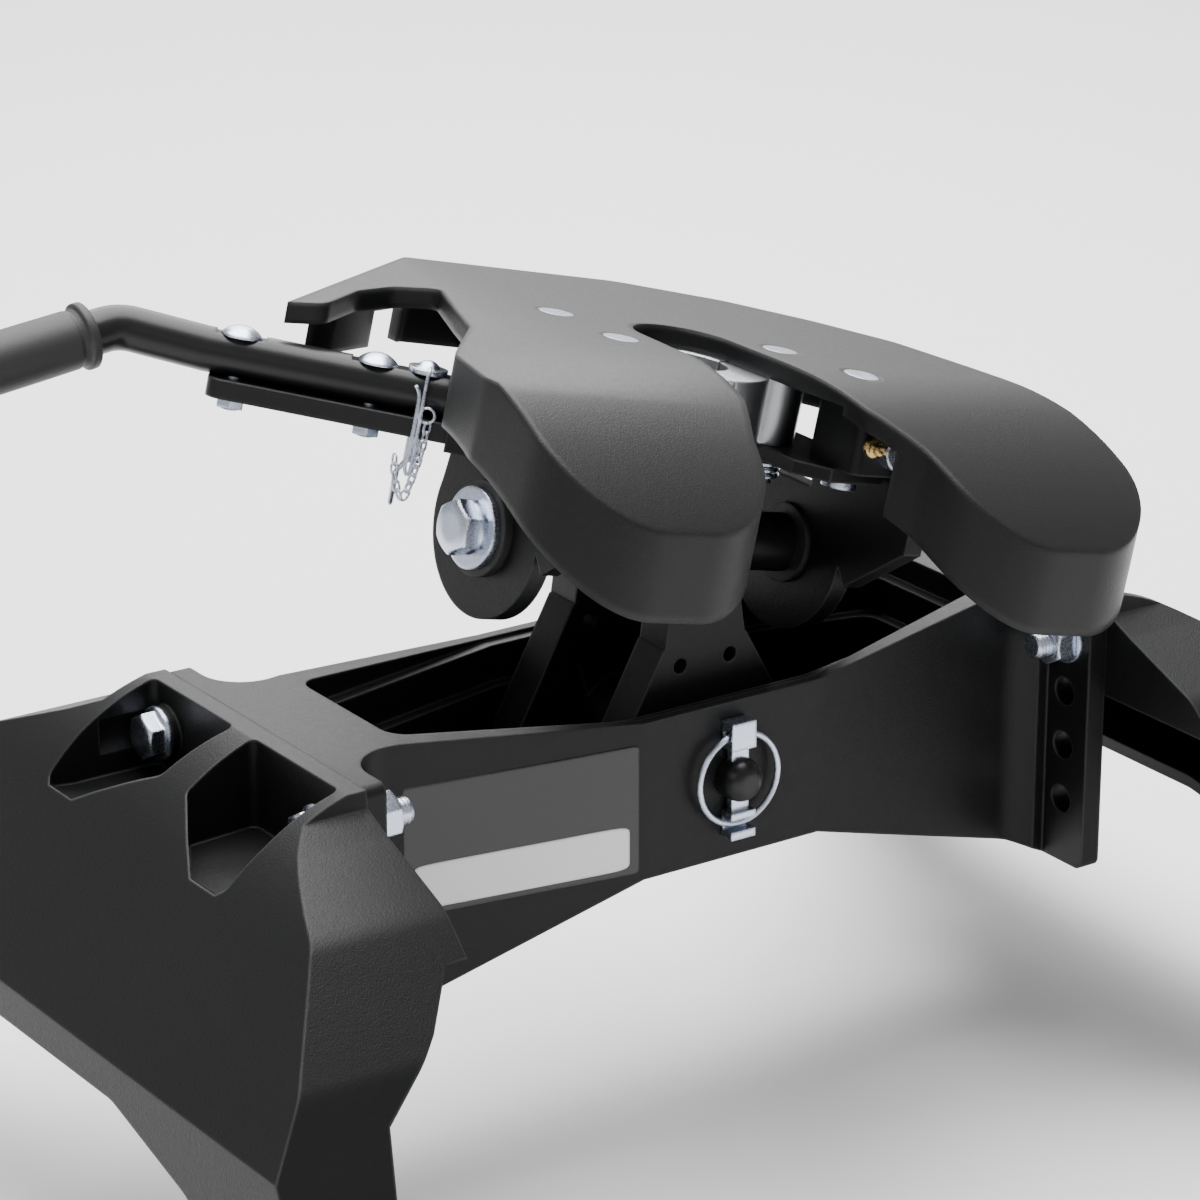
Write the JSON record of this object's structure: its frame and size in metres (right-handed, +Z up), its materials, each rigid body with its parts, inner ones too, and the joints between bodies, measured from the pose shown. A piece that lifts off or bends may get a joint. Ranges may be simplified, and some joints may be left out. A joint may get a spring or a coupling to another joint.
{
  "type": "fifth wheel hitch",
  "caption": "Truck-bed fifth wheel hitch: hollow centre beam on cast legs, a rolling and pitching skid-plate head with locking jaws, and a long pull handle.",
  "frame": {"origin": "midway between the four foot bolts, on the plane the feet rest on", "axes": "+X to the driver's right, +Y towards the cab, +Z up"},
  "size_m": [0.816, 0.628, 0.492],
  "materials": {
    "black_coat": "satin powder coat",
    "zinc": "bright zinc plate",
    "jaw_steel": "machined",
    "grip_rubber": "ribbed",
    "bushing_rubber": "moulded",
    "brass": "machined",
    "plate_film": "matte"
  },
  "bodies": {
    "base": {"center_beam": "black_coat", "left_leg": "black_coat", "right_leg": "black_coat", "leg_bolts": "zinc", "leg_nuts": "zinc", "leg_washers": "zinc", "yoke": "black_coat", "roll_pin": "jaw_steel", "roll_pin_rings": "zinc", "bearing_ball": "jaw_steel", "beam_plate": "plate_film"},
    "rocker": {"rocker": "black_coat", "bearing_race": "jaw_steel", "trunnion_bolts": "zinc", "trunnion_washers": "zinc", "bushing_sleeves": "zinc"},
    "head": {"bushing_rubbers": "bushing_rubber", "skid_plate": "black_coat", "left_ear": "black_coat", "right_ear": "black_coat", "jaw_shelf": "black_coat", "king_pin_seat": "jaw_steel", "jaw_pins": "zinc", "spacer_pins": "zinc", "jaw_springs": "zinc", "pivot_block": "black_coat", "grease_fitting": "brass", "pivot_cap": "zinc", "handle_guide": "black_coat"},
    "left_jaw": {"left_jaw": "jaw_steel"},
    "right_jaw": {"right_jaw": "jaw_steel"},
    "handle": {"handle_tube": "black_coat", "handle_bar": "black_coat", "handle_grip": "grip_rubber", "carriage_bolts": "zinc", "carriage_nuts": "zinc"},
    "lock_pin": {"lock_pin": "zinc", "lock_pin_clip": "zinc"},
    "rear_pin": {"rear_yoke_pin": "black_coat", "rear_pin_keeper": "zinc"},
    "rear_ring": {"rear_pull_ring": "zinc"},
    "front_pin": {"front_yoke_pin": "black_coat", "front_pin_keeper": "zinc"},
    "front_ring": {"front_pull_ring": "zinc"}
  },
  "joints": [
    {"name": "head_roll", "type": "hinge", "parent": "base", "child": "rocker", "pos_m": [0, 0, 0.341], "axis": [0, -1, 0], "range_deg": [0, 27]},
    {"name": "head_pitch", "type": "hinge", "parent": "rocker", "child": "head", "pos_m": [0, 0, 0.341], "axis": [0.9724, 0, -0.2334], "range_deg": [-10, 10], "stiffness_Nm_per_rad": 500},
    {"name": "handle_slide", "type": "slide", "parent": "head", "child": "handle", "axis": [-0.7766, 0.6018, 0.1864], "range_m": [0, 0.06]},
    {"name": "right_jaw_swing", "type": "hinge", "parent": "head", "child": "right_jaw", "pos_m": [0.07383, -0.014, 0.40863], "axis": [0.2334, 0, 0.9724], "range_deg": [0, 46]},
    {"name": "left_jaw_swing", "type": "hinge", "parent": "head", "child": "left_jaw", "pos_m": [-0.03508, -0.014, 0.43478], "axis": [0.2334, 0, 0.9724], "range_deg": [-46, 0]},
    {"name": "lock_pin_lift", "type": "slide", "parent": "handle", "child": "lock_pin", "axis": [0.2334, 0, 0.9724], "range_m": [0, 0.006]},
    {"name": "rear_pin_pull", "type": "slide", "parent": "base", "child": "rear_pin", "axis": [0, -1, 0], "range_m": [0, 0.05]},
    {"name": "rear_ring_swing", "type": "hinge", "parent": "rear_pin", "child": "rear_ring", "pos_m": [0, -0.09, 0.2507], "axis": [-1, 0, 0], "range_deg": [0, 75]},
    {"name": "front_pin_pull", "type": "slide", "parent": "base", "child": "front_pin", "axis": [0, 1, 0], "range_m": [0, 0.05]},
    {"name": "front_ring_swing", "type": "hinge", "parent": "front_pin", "child": "front_ring", "pos_m": [0, 0.09, 0.2507], "axis": [1, 0, 0], "range_deg": [0, 75]}
  ],
  "couplings": [
    {"joint": "right_jaw_swing", "follows": "handle_slide", "rad_per_m": 13.09},
    {"joint": "left_jaw_swing", "follows": "handle_slide", "rad_per_m": -13.09}
  ]
}
